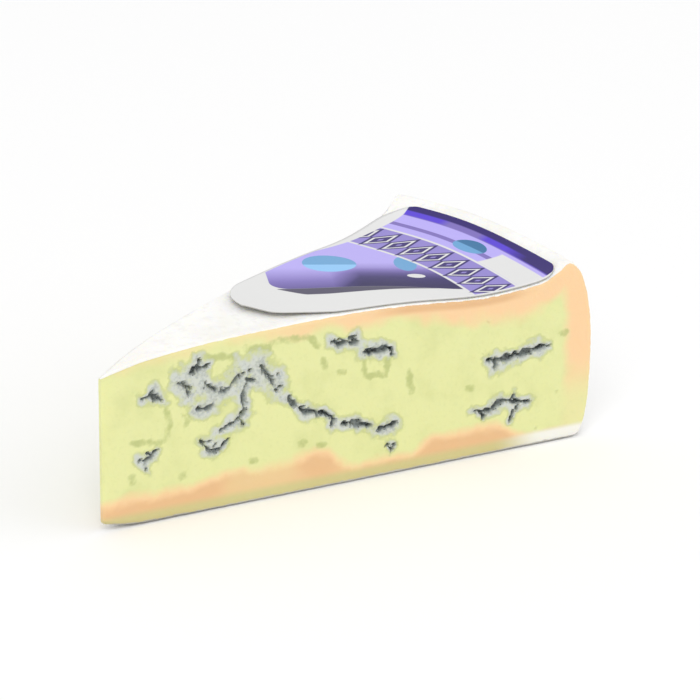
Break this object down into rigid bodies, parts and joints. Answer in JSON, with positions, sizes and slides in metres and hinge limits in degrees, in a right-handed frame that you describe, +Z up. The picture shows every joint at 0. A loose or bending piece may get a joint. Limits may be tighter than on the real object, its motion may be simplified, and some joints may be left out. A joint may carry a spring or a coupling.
{
  "type": "soft blue cheese wedge",
  "caption": "Wedge cut from a flat round soft-ripened cheese with blue mould crevices on its cut faces, a white rind and a paper label on top.",
  "frame": {"origin": "middle of the wedge's bounding box, on the flat underside that it rests on", "axes": "+X from the tip to the rim along the wedge's middle line, +Y to the left of it, +Z up"},
  "size_m": [0.1282, 0.0649, 0.0458],
  "materials": {
    "cheese": "satin",
    "printed_paper": "satin"
  },
  "bodies": {
    "root": {"cheese_wedge": "cheese", "paper_label": "printed_paper"}
  },
  "joints": []
}
